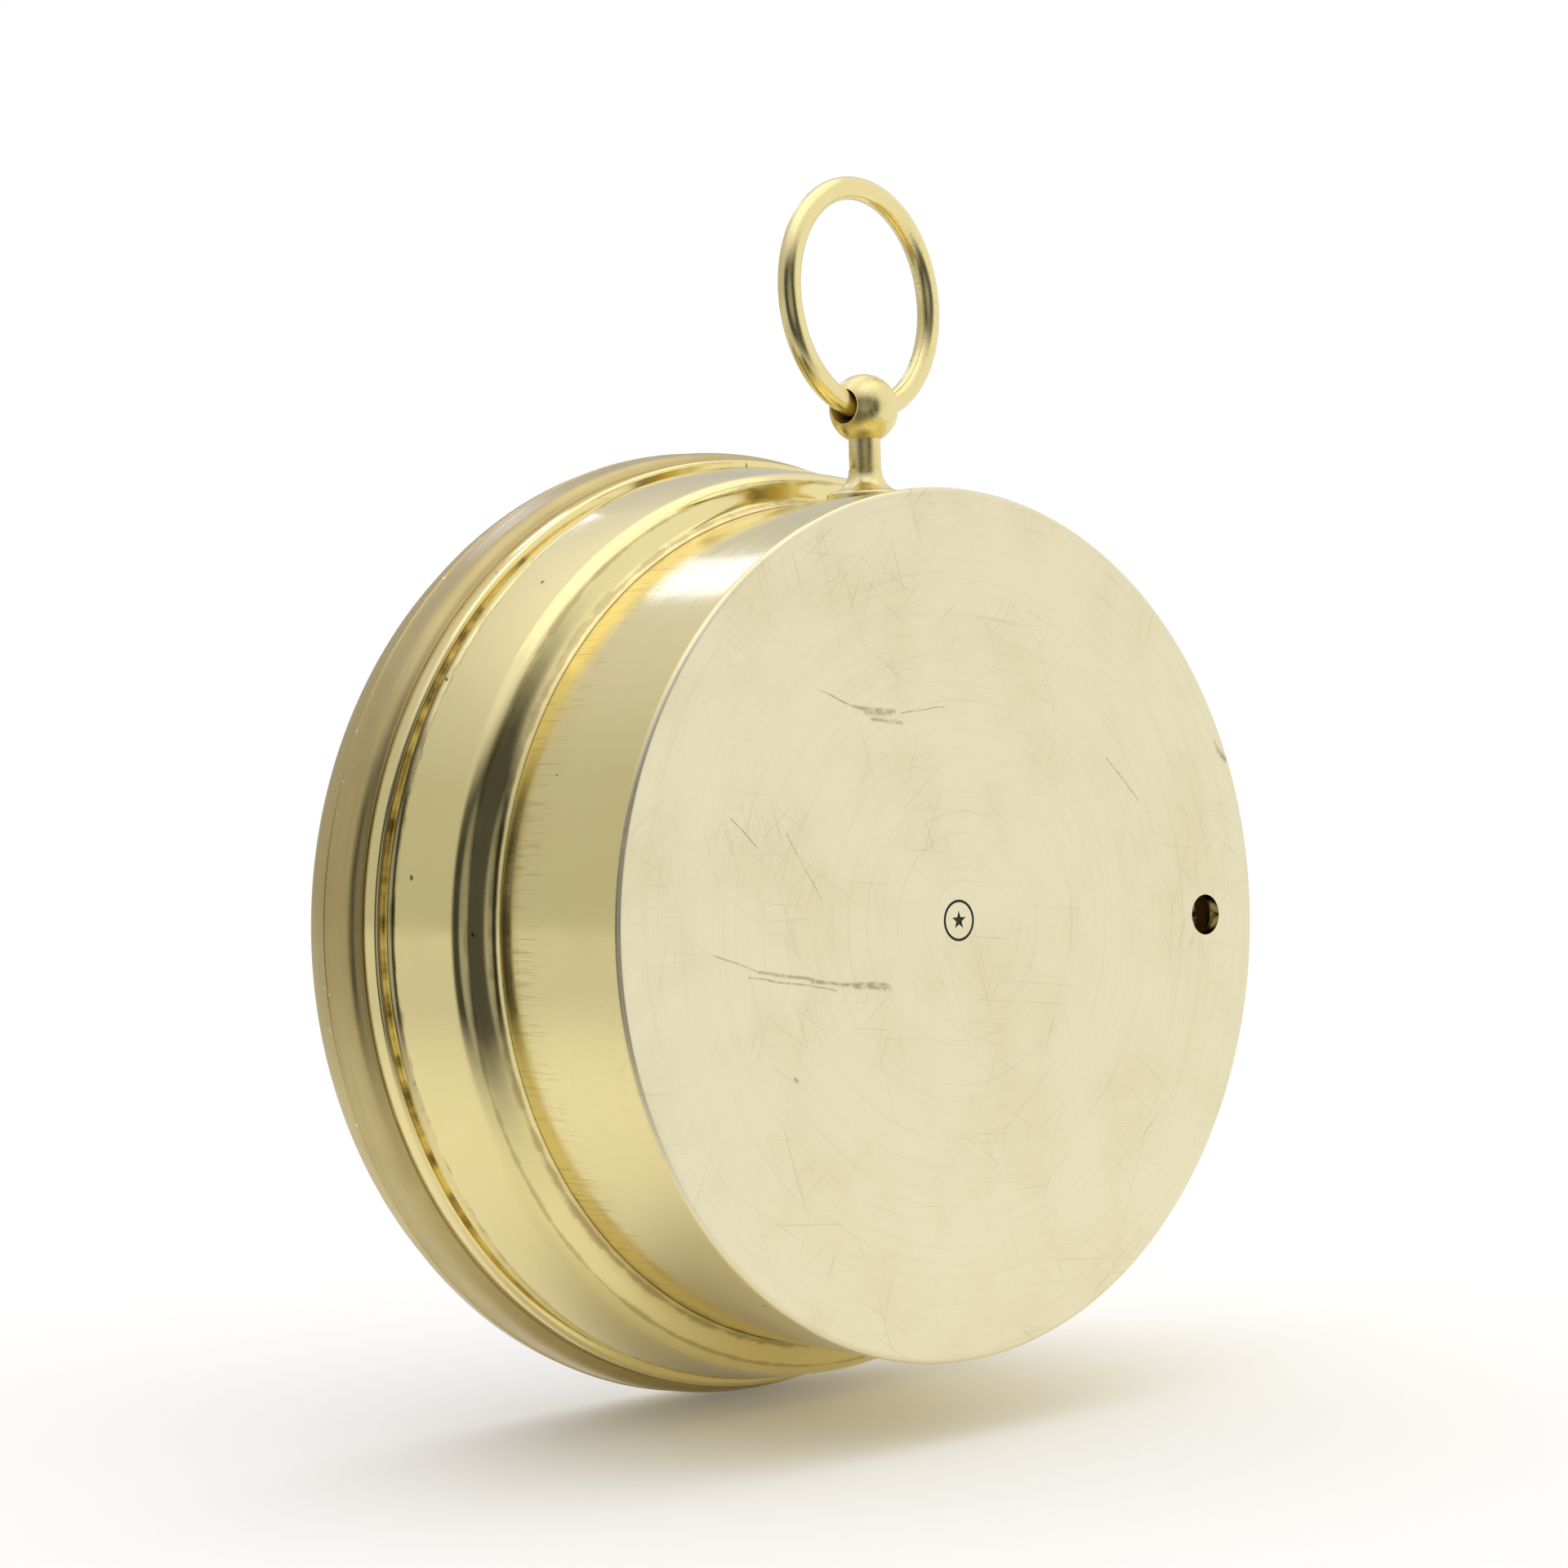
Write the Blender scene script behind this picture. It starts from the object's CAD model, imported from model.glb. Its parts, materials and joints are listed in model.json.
import json
import math

import bpy
from mathutils import Matrix, Vector


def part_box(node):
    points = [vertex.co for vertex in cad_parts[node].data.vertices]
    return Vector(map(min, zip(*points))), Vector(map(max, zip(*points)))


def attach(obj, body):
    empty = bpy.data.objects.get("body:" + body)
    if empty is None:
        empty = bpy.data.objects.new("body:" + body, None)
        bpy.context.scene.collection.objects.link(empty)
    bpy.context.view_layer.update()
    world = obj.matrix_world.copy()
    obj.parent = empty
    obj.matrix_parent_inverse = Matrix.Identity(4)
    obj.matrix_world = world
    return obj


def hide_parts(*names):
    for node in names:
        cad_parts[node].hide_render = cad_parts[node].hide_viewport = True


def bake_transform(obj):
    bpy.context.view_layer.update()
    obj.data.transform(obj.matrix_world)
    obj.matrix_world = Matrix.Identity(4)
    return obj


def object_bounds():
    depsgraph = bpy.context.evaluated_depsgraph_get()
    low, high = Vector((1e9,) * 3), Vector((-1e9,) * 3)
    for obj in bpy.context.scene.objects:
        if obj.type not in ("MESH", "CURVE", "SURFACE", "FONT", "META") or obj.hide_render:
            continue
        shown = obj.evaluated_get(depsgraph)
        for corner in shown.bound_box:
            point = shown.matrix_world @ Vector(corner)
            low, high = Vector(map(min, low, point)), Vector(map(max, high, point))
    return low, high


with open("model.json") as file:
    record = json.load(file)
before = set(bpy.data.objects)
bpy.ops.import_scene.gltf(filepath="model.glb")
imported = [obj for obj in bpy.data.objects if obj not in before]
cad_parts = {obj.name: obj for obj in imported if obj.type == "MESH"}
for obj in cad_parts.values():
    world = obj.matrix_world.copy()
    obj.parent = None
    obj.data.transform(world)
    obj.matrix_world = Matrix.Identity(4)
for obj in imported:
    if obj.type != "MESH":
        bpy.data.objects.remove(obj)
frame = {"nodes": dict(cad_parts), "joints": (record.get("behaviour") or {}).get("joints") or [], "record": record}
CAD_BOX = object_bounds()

bl_info = {
    "name": "Marine Barometer",
    "version": (1, 0, 0),
    "blender": (4, 5, 0),
    "location": "View3D > Sidebar > Barometer",
    "description": "Turned brass marine aneroid barometer, modelled over its CAD frame",
    "category": "Add Mesh",
}

# Lengths here are in millimetres until they reach Blender, which works in metres. A depth is
# a distance from the back's outer face towards the dial, so it runs along -Y.
MM = 0.001


def limits(node):
    """A CAD node's lowest and highest corner, in millimetres."""
    low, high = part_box(node)
    return low / MM, high / MM


def depths(node):
    """Where a CAD node starts and ends along the case's axis."""
    low, high = limits(node)
    return -high.y, -low.y


def linear(code):
    """An sRGB hex colour as the linear values that a shader takes."""
    parts = [int(code[i : i + 2], 16) / 255 for i in (1, 3, 5)]
    return tuple(p / 12.92 if p <= 0.04045 else ((p + 0.055) / 1.055) ** 2.4 for p in parts)


DRUM_R = limits("case_drum")[1].x
CREASE = depths("case_collar")[0]
SEAM, BEZEL_END = depths("bezel")
BEZEL_R = limits("bezel")[1].x
COLLAR_R = limits("case_collar")[1].x
GLASS_R = limits("glass")[1].x
GLASS_BACK, GLASS_FRONT = depths("glass")
DIAL_BACK, DIAL_FRONT = depths("dial")
DIAL_R = limits("dial")[1].x
SCALE_R = 46.0
STAMP_AT, STAMP_DEEP = (1.0, 0.4), 0.12
BALL_LOW, BALL_HIGH = limits("ball")
RING_LOW, RING_HIGH = limits("ring")
BALL_R = (BALL_HIGH.z - BALL_LOW.z) / 2
PENDANT_DEPTH = -(RING_LOW.y + RING_HIGH.y) / 2
SWING = next(j for j in frame["joints"] if j["name"] == "bow_swing")
BALL_CENTRE = Vector(SWING["pos_m"]) / MM
PIN_AXIS = Vector(SWING["axis"])


# ---------------------------------------------------------------- sizes and colours


class BarometerSizes(bpy.types.PropertyGroup):
    """Sizes that only the finish depends on."""

    steps: bpy.props.IntProperty(
        name="Turning steps", description="Steps round a turned piece", default=288, min=64, max=512)
    edge: bpy.props.FloatProperty(
        name="Back edge", description="Rounding of the back's outer edge",
        default=0.7 * MM, min=0.2 * MM, max=1.5 * MM, subtype="DISTANCE", unit="LENGTH")
    break_edge: bpy.props.FloatProperty(
        name="Broken edges", description="Rounding of the other turned edges",
        default=0.15 * MM, min=0.05 * MM, max=0.4 * MM, subtype="DISTANCE", unit="LENGTH")
    sight: bpy.props.FloatProperty(
        name="Sight opening", description="Radius of the bezel's opening",
        default=(DIAL_R - 0.7) * MM, subtype="DISTANCE", unit="LENGTH")
    dial_open: bpy.props.FloatProperty(
        name="Dial opening", description="Radius of the opening in the dial",
        default=23.0 * MM, subtype="DISTANCE", unit="LENGTH")
    wire: bpy.props.FloatProperty(
        name="Ring wire", description="Radius of the ring's wire",
        default=1.5 * MM, subtype="DISTANCE", unit="LENGTH")
    figure: bpy.props.FloatProperty(
        name="Figures", description="Size of the dial's figures",
        default=4.6 * MM, min=3 * MM, max=8 * MM, subtype="DISTANCE", unit="LENGTH")


class BarometerColours(bpy.types.PropertyGroup):
    """Colours of the finishes."""

    polished: bpy.props.FloatVectorProperty(
        name="Polished brass", description="Drum and collar", subtype="COLOR", size=3,
        default=linear("#eedfa2"))
    satin: bpy.props.FloatVectorProperty(
        name="Satin brass", description="Bezel", subtype="COLOR", size=3, default=linear("#c6b47c"))
    back: bpy.props.FloatVectorProperty(
        name="Back", description="Faced and dulled back", subtype="COLOR", size=3, default=linear("#ede4c1"))
    tarnish: bpy.props.FloatVectorProperty(
        name="Tarnish", description="Brown of old brass in corners and scratches", subtype="COLOR", size=3,
        default=linear("#7a5f2e"))
    lacquered: bpy.props.FloatVectorProperty(
        name="Lacquered brass", description="Movement plates", subtype="COLOR", size=3,
        default=linear("#e2c27a"))
    silvered: bpy.props.FloatVectorProperty(
        name="Silvering", description="Dial", subtype="COLOR", size=3, default=linear("#eae8e0"))
    steel: bpy.props.FloatVectorProperty(
        name="Steel", description="Screws and arbors", subtype="COLOR", size=3, default=linear("#b4b6b9"))
    blued: bpy.props.FloatVectorProperty(
        name="Blued steel", description="Pressure hand and hairspring", subtype="COLOR", size=3,
        default=linear("#2c3f74"))
    nickel: bpy.props.FloatVectorProperty(
        name="Nickel silver", description="Vacuum capsule", subtype="COLOR", size=3,
        default=linear("#cfcbbd"))


# ---------------------------------------------------------------- shader helpers


# Short names for the nodes used most: kind, usual settings, the sockets fed in order, and the output.
# A span is a value's place between two limits, smoothed, and a noise's scale is one over its size in millimetres.
RECIPES = {
    "SPAN": ("MapRange", {"interpolation_type": "SMOOTHSTEP"}, (0, 1, 2, 3, 4), 0),
    "BLEND": ("Mix", {"data_type": "RGBA"}, (0, 6, 7), 2),
    "NOISE": ("TexNoise", {"Detail": 4.0, "Roughness": 0.55}, ("Vector", "Scale"), 0),
}
for sum_name in ("ADD", "SUBTRACT", "MULTIPLY", "ABSOLUTE", "MAXIMUM", "MINIMUM"):
    RECIPES[sum_name] = ("Math", {"operation": sum_name}, (0, 1), 0)


def put(tree, kind, *sources, out=None, **settings):
    """Adds a node by its kind or its name in RECIPES, with its settings and links, and gives its output."""
    kind, usual, sockets, output = RECIPES.get(kind, (kind, {}, range(9), 0))
    node = tree.nodes.new("ShaderNode" + kind)
    inputs = dict(zip(sockets, sources))
    for name, value in {**usual, **settings}.items():
        if hasattr(node, name):
            setattr(node, name, value)
        else:
            inputs[name] = value
    for name, source in inputs.items():
        socket = node.inputs[name]
        if isinstance(source, bpy.types.NodeSocket):
            tree.links.new(source, socket)
        elif source is not None:
            socket.default_value = (*source[:3], 1) if socket.type == "RGBA" else source
    return node.outputs[output if out is None else out]


def stretched(tree, vector, lengths, turn=(0, 0, 0), shift=(0, 0, 0), detail=3.0):
    """Noise drawn out to its own length along each axis, in millimetres."""
    placed = put(tree, "Mapping", vector_type="TEXTURE", Vector=vector, Location=shift, Rotation=turn)
    scaled = put(tree, "Mapping", Vector=placed, Scale=[1 / n for n in lengths])
    return put(tree, "NOISE", scaled, 1.0, Detail=detail, Roughness=0.6)


class Finish:
    """A material being built: its tree, its shader and its coordinates in millimetres."""

    def __init__(self, name, colour, metallic=1.0, roughness=0.3, **inputs):
        self.material = bpy.data.materials.new(name)
        self.material.use_nodes = True
        self.tree = self.material.node_tree
        self.shader = self.tree.nodes["Principled BSDF"]
        self.shader.inputs["Base Color"].default_value = (*colour, 1)
        self.shader.inputs["Metallic"].default_value = metallic
        self.shader.inputs["Roughness"].default_value = roughness
        for socket, value in inputs.items():
            self.shader.inputs[socket.replace("_", " ")].default_value = value
        coordinates = put(self.tree, "TexCoord", out="Object")
        self.place = put(self.tree, "Mapping", Vector=coordinates, Scale=(1 / MM, 1 / MM, 1 / MM))
        self.x, y, self.z = put(self.tree, "SeparateXYZ", self.place).node.outputs
        self.depth = put(self.tree, "MULTIPLY", y, -1.0)
        self.flat = put(self.tree, "CombineXYZ", self.x, 0.0, self.z)
        self.radius = put(self.tree, "VectorMath", self.flat, operation="LENGTH", out="Value")

    def link(self, source, socket):
        self.tree.links.new(source, self.shader.inputs[socket])

    def bump(self, height, distance, normal=None):
        """Relief of a height between 0 and 1 that stands distance millimetres."""
        return put(self.tree, "Bump", Height=height, Distance=distance * MM, Strength=1.0, Normal=normal)

    def off_depth(self, depth):
        """How far a point is from one depth."""
        return put(self.tree, "ABSOLUTE", put(self.tree, "SUBTRACT", self.depth, depth))

    def rings(self, spacing, drift, **settings):
        """Noise in rings about the case's axis, a spacing of 1 millimetre or so across, that drifts round them."""
        spiral = put(self.tree, "CombineXYZ", *(put(self.tree, "MULTIPLY", value, rate) for value, rate in
                     ((self.radius, 1 / spacing), (self.x, drift), (self.z, drift))))
        return put(self.tree, "TexNoise", Vector=spiral, Scale=1.0, **settings)


def scratch_layers(finish, layers, turn_axis, length, width, threshold):
    """Thin straight scratches at several angles about an axis, added up to one mask."""
    tree, total = finish.tree, None
    for i in range(layers):
        angle = math.radians(180 * i / layers + 17 * (i % 3))
        turn = [angle * a for a in turn_axis]
        grow = 1 + 0.35 * (i % 3)
        lengths = (length * grow, length * grow, width)
        lines = stretched(tree, finish.place, lengths, turn, (31 * i, 17 * i, 23 * i), detail=1.5)
        mask = put(tree, "SPAN", lines, threshold, threshold + 0.05)
        total = mask if total is None else put(tree, "MAXIMUM", total, mask)
    return total


def stroke(finish, start, end, width):
    """A mask of one straight scratch on the back, from its two ends in x and z."""
    tree = finish.tree
    run = Vector((end[0] - start[0], 0, end[1] - start[1]))
    wobble = put(tree, "TexNoise", Vector=finish.flat, Scale=0.16, Detail=1.0, out="Color")
    bent = put(tree, "VectorMath", wobble, (0.9, 0, 0.9), finish.flat, operation="MULTIPLY_ADD")
    offset = put(tree, "VectorMath", bent, (start[0] + 0.45, 0, start[1] + 0.45), operation="SUBTRACT")
    along = put(tree, "VectorMath", offset, run / run.length_squared, operation="DOT_PRODUCT", out="Value")
    held = put(tree, "MAXIMUM", put(tree, "MINIMUM", along, 1.0), 0.0)
    nearest = put(tree, "VectorMath", run, operation="SCALE", Scale=held)
    away = put(tree, "VectorMath", offset, nearest, operation="DISTANCE", out="Value")
    return put(tree, "SPAN", away, 0.0, width, 1.0, 0.0)


# ---------------------------------------------------------------- finishes


def polished_brass(name, colour, tarnish, dark_depths=(), roughness=0.13):
    """Turned cartridge brass, buffed by hand: a mirror that fine lines soften, a little wavy, with brown
    and then near-black left in the corners a cloth can't reach."""
    f = Finish(name, colour, roughness=roughness)
    tree = f.tree
    waves = put(tree, "NOISE", f.place, 1 / 14, Detail=1.5)
    round_lines = stretched(tree, f.place, (30, 0.35, 30), detail=5)
    along_lines = stretched(tree, f.place, (0.3, 9, 0.3), shift=(5, 3, 9), detail=4)
    lines = put(tree, "ADD", put(tree, "MULTIPLY", round_lines, 0.55),
                      put(tree, "MULTIPLY", along_lines, 0.45))
    pits = put(tree, "NOISE", f.place, 1 / 0.9, Detail=6, Roughness=0.75)
    soft = put(tree, "SPAN", lines, 0.3, 0.75, roughness * 0.6, roughness * 1.7)
    cloud = put(tree, "SPAN", put(tree, "NOISE", f.place, 1 / 9, Detail=5), 0.35, 0.75, 0.0, 0.09)
    f.link(put(tree, "ADD", soft, cloud), "Roughness")
    scratches = scratch_layers(f, 3, (1, 1, 0.3), 14, 0.14, 0.76)
    stain = put(tree, "MULTIPLY", put(tree, "SPAN", pits, 0.66, 0.8), 0.35)
    stain = put(tree, "MAXIMUM", stain, put(tree, "MULTIPLY", scratches, 0.35))
    nicks = put(tree, "SPAN", put(tree, "NOISE", f.place, 1 / 2.4, Detail=1.5), 0.76, 0.79, 0.0, 0.8)
    rubbed = put(tree, "MULTIPLY", put(tree, "SPAN", along_lines, 0.52, 0.72, 0.0, 0.3),
                       put(tree, "SPAN", f.off_depth(CREASE - 4),
                            2.5, 6.5, 1.0, 0.0))
    stain = put(tree, "MAXIMUM", stain, put(tree, "MAXIMUM", nicks, rubbed))
    for depth, reach, strength in dark_depths:
        away = f.off_depth(depth)
        ragged = put(tree, "ADD", away, put(tree, "SPAN", put(tree, "NOISE", f.place, 1 / 4, Detail=5), 0.3, 0.7,
                                                   -0.4 * reach, 0.4 * reach))
        stain = put(tree, "MAXIMUM", stain, put(tree, "SPAN", ragged, 0.0, reach, strength, 0.0))
    broad = put(tree, "SPAN", put(tree, "NOISE", f.place, 1 / 30, Detail=3), 0.35, 0.7, 0.0, 0.35)
    warm = put(tree, "BLEND", broad, colour,
                        [c * k for c, k in zip(colour, (0.97, 0.93, 0.82))])
    grimy = put(tree, "BLEND", put(tree, "SPAN", stain, 0.5, 0.9), tarnish, linear("#3d3016"))
    f.link(put(tree, "BLEND", stain, warm, grimy), "Base Color")
    normal = f.bump(waves, 0.09)
    normal = f.bump(lines, 0.0028, normal)
    f.link(f.bump(scratches, 0.004, normal), "Normal")
    return f.material


def satin_brass(name, colour, tarnish, arris):
    """Brass brushed round the axis with fine emery: broad soft reflections and short silky lines, with
    the arris rubbed bright and nicked."""
    f = Finish(name, colour, roughness=0.3)
    tree = f.tree
    fine = stretched(tree, f.place, (9, 0.12, 9), detail=5)
    coarse = stretched(tree, f.place, (24, 0.6, 24), detail=4)
    brushed = put(tree, "ADD", put(tree, "MULTIPLY", fine, 0.6),
                        put(tree, "MULTIPLY", coarse, 0.4))
    f.link(put(tree, "SPAN", brushed, 0.3, 0.7, 0.24, 0.42), "Roughness")
    patches = put(tree, "SPAN", put(tree, "NOISE", f.place, 1 / 12, Detail=6, Roughness=0.65), 0.4, 0.72, 0.0, 0.4)
    streaks = put(tree, "SPAN", coarse, 0.5, 0.8, 0.0, 0.45)
    away = f.off_depth(arris)
    nicks = put(tree, "MULTIPLY", put(tree, "SPAN", away, 0.2, 1.3, 1.0, 0.0),
                      put(tree, "SPAN", put(tree, "NOISE", f.place, 1 / 0.9, Detail=4), 0.64, 0.74))
    scratches = scratch_layers(f, 3, (1, 1, 0.3), 7, 0.15, 0.77)
    dull = put(tree, "MAXIMUM", put(tree, "MAXIMUM", patches, streaks),
                     put(tree, "MULTIPLY", scratches, 0.6))
    edge = put(tree, "SPAN", f.off_depth(SEAM), 0.0, 0.5, 0.8, 0.0)
    dull = put(tree, "MAXIMUM", put(tree, "MULTIPLY", dull, 0.42), edge)
    worn = put(tree, "BLEND", dull, colour, tarnish)
    f.link(put(tree, "BLEND", nicks, worn, linear("#fff6dc")), "Base Color")
    normal = f.bump(brushed, 0.004)
    f.link(f.bump(put(tree, "ADD", nicks, scratches), 0.01, normal), "Normal")
    return f.material


def faced_back(name, colour, tarnish):
    """Brass faced on the lathe and dulled by years of handling: faint rings from the tool, fine
    scratches every way, and a few deep ones."""
    f = Finish(name, colour, roughness=0.36)
    tree = f.tree
    rings = f.rings(1 / 1.6, 0.03, Detail=5.0, Roughness=0.7)
    hair = scratch_layers(f, 8, (0, 1, 0), 20, 0.13, 0.7)
    bold = scratch_layers(f, 5, (0, 1, 0), 34, 0.16, 0.75)
    handled = put(tree, "SPAN", put(tree, "NOISE", f.place, 1 / 17, Detail=2), 0.42, 0.62, 0.2, 1.0)
    strokes = None
    for start, end, width in (
        ((41.5, -1.9), (34.4, -4.6), 0.16), ((34.4, -4.6), (23.2, -6.3), 0.34), ((36, -5.1), (22, -7.3), 0.2),
        ((26, -6.1), (13.4, -7.1), 0.42), ((19, -6.9), (13, -7.6), 0.5), ((23.6, 29.5), (18, 27.5), 0.2),
        ((18, 27.5), (11, 26.9), 0.45), ((16, 27), (12, 26.8), 0.7), ((15, 26.1), (10, 25.6), 0.4),
        ((10, 26.8), (2.5, 27.5), 0.14),
        ((-49.3, 21.6), (-50.6, 20.4), 0.7), ((-48.5, 23), (-49.4, 21.5), 0.3), ((28.9, -17.6), (28.5, -18), 0.4),
        ((38, 14), (34, 10.5), 0.16), ((-27, 21), (-33, 15), 0.16), ((29.5, 12), (24, 4), 0.1),
    ):
        mark = stroke(f, start, end, width)
        strokes = mark if strokes is None else put(tree, "MAXIMUM", strokes, mark)
    bite = put(tree, "SPAN", put(tree, "NOISE", f.place, 1 / 1.2, Detail=5, Roughness=0.7), 0.35, 0.6, 0.25, 1.0)
    deep = put(tree, "MULTIPLY", strokes, bite)
    fine = put(tree, "MULTIPLY", put(tree, "MAXIMUM", put(tree, "MULTIPLY", bold, 0.6),
                     put(tree, "MULTIPLY", hair, handled)), 0.55)
    marks = put(tree, "MAXIMUM", deep, fine)
    cloud = put(tree, "SPAN", put(tree, "NOISE", f.place, 1 / 16, Detail=6, Roughness=0.62), 0.38, 0.7, 0.0, 1.0)
    pitted = put(tree, "SPAN", put(tree, "NOISE", f.place, 1 / 22, Detail=3), 0.5, 0.62, 0.25, 1.0)
    specks = put(tree, "MULTIPLY", pitted,
                       put(tree, "SPAN", put(tree, "NOISE", f.place, 1 / 0.55, Detail=4, Roughness=0.7),
                           0.64, 0.72, 0.0, 0.4))
    aged = put(tree, "BLEND", put(tree, "MULTIPLY", cloud, 0.18), colour, linear("#e3cf94"))
    aged = put(tree, "BLEND", put(tree, "MULTIPLY", put(tree, "SPAN", rings, 0.5, 0.75), 0.09), aged, tarnish)
    aged = put(tree, "BLEND", put(tree, "MAXIMUM", put(tree, "MULTIPLY", marks, 0.55), specks),
                        aged, tarnish)
    f.link(aged, "Base Color")
    rough = put(tree, "ADD", put(tree, "SPAN", cloud, 0.0, 1.0, 0.33, 0.4), put(tree, "MULTIPLY", marks, 0.1))
    f.link(rough, "Roughness")
    normal = f.bump(rings, 0.003)
    f.link(f.bump(put(tree, "SUBTRACT", 1.0, marks), 0.012, normal), "Normal")
    return f.material


def lacquered_brass(name, colour):
    """Movement brass, grained in straight lines with a stone and lacquered: warm, even and silky."""
    f = Finish(name, colour, roughness=0.28, Coat_Weight=0.25, Coat_Roughness=0.12)
    grain = stretched(f.tree, f.place, (7, 7, 0.12), detail=4)
    f.link(put(f.tree, "SPAN", grain, 0.3, 0.7, 0.2, 0.38), "Roughness")
    tone = put(f.tree, "SPAN", put(f.tree, "NOISE", f.place, 1 / 8, Detail=4), 0.4, 0.7, 0.0, 0.3)
    f.link(put(f.tree, "BLEND", tone, colour, linear("#b98f48")), "Base Color")
    f.link(f.bump(grain, 0.003), "Normal")
    return f.material


def silvered_brass(name, colour):
    """Brass rubbed with silvering paste: matt and pale, with a faint circular grain and warm spots."""
    f = Finish(name, colour, metallic=0.55, roughness=0.46)
    grain = f.rings(1 / 3.0, 0.05, Detail=4.0)
    spots = put(f.tree, "SPAN", put(f.tree, "NOISE", f.place, 1 / 5, Detail=6, Roughness=0.7), 0.55, 0.8, 0.0, 0.35)
    f.link(put(f.tree, "BLEND", spots, colour, linear("#b9a77c")), "Base Color")
    f.link(put(f.tree, "SPAN", grain, 0.3, 0.7, 0.4, 0.54), "Roughness")
    f.link(f.bump(grain, 0.003), "Normal")
    return f.material


def steel_finish(name, colour, roughness=0.26):
    """Machined steel, oiled: grey, sharp in its highlights, with fine lines from the tool."""
    f = Finish(name, colour, roughness=roughness)
    lines = stretched(f.tree, f.place, (6, 6, 0.4), detail=3)
    f.link(put(f.tree, "SPAN", lines, 0.3, 0.7, roughness * 0.8, roughness * 1.3), "Roughness")
    rust = put(f.tree, "SPAN", put(f.tree, "NOISE", f.place, 1 / 2.5, Detail=6, Roughness=0.7), 0.6, 0.8, 0.0, 0.25)
    f.link(put(f.tree, "BLEND", rust, colour, linear("#5a4c3c")), "Base Color")
    return f.material


def blued_finish(name, colour):
    """Steel blued over a flame: deep blue that turns to purple in places, polished."""
    f = Finish(name, colour, roughness=0.2)
    heat = put(f.tree, "SPAN", put(f.tree, "NOISE", f.place, 1 / 14, Detail=2), 0.35, 0.7)
    f.link(put(f.tree, "BLEND", heat, colour, linear("#3a2c5e")), "Base Color")
    f.link(put(f.tree, "SPAN", put(f.tree, "NOISE", f.place, 1 / 3, Detail=3), 0.3, 0.7, 0.14, 0.24), "Roughness")
    return f.material


def nickel_silver(name, colour):
    """Pressed nickel silver sheet: pale, slightly warm, with rings from its spinning."""
    f = Finish(name, colour, roughness=0.24)
    rings = put(f.tree, "TexNoise", noise_dimensions="1D", W=put(f.tree, "MULTIPLY", f.radius, 4.0), Scale=1.0,
                Detail=3.0)
    f.link(put(f.tree, "SPAN", rings, 0.3, 0.7, 0.18, 0.34), "Roughness")
    dull = put(f.tree, "SPAN", put(f.tree, "NOISE", f.place, 1 / 6, Detail=5), 0.5, 0.8, 0.0, 0.4)
    f.link(put(f.tree, "BLEND", dull, colour, linear("#8d8266")), "Base Color")
    return f.material


def clear_glass(name):
    """Plate glass 2.5 mm thick with polished faces: clear, with a slight green in its edge."""
    f = Finish(name, linear("#fdfffe"), metallic=0.0, roughness=0.0, Transmission_Weight=1.0, IOR=1.5)
    tree = f.tree
    out = tree.nodes["Material Output"]
    path = put(tree, "LightPath").node.outputs
    soft = put(tree, "MAXIMUM", path["Is Shadow Ray"], path["Is Diffuse Ray"])
    clear = put(tree, "BsdfTransparent", (0.95, 0.96, 0.95))
    mix = put(tree, "MixShader", soft, f.shader.outputs[0], clear)
    tree.links.new(mix, out.inputs["Surface"])
    return f.material


def white_paper(name):
    """Matt white paper that fades into the white behind it, away from the piece."""
    f = Finish(name, linear("#fcfbf5"), metallic=0.0, roughness=0.9)
    f.shader.inputs["Specular IOR Level"].default_value = 0.2
    f.shader.inputs["Emission Color"].default_value = (*linear("#fdfbf1"), 1)
    f.shader.inputs["Emission Strength"].default_value = 0.12
    offset = put(f.tree, "VectorMath", f.place, (65, 76, 0), operation="ADD")
    flat = put(f.tree, "VectorMath", offset, (1, 1, 0), operation="MULTIPLY")
    reach = put(f.tree, "VectorMath", flat, operation="LENGTH", out="Value")
    f.link(put(f.tree, "SPAN", reach, 120, 340, 1.0, 0.0), "Alpha")
    return f.material


def black_wax(name):
    """Black engraver's wax baked into the cuts: dark, matt and a little grainy."""
    f = Finish(name, linear("#1c1a17"), metallic=0.0, roughness=0.5)
    grain = put(f.tree, "NOISE", f.place, 1 / 0.3, Detail=3)
    f.link(put(f.tree, "SPAN", grain, 0.3, 0.7, 0.4, 0.65), "Roughness")
    f.link(put(f.tree, "BLEND", put(f.tree, "SPAN", grain, 0.5, 0.8, 0.0, 0.5), linear("#1c1a17"),
                        linear("#3d3424")), "Base Color")
    return f.material


FINISHES = {}


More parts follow.
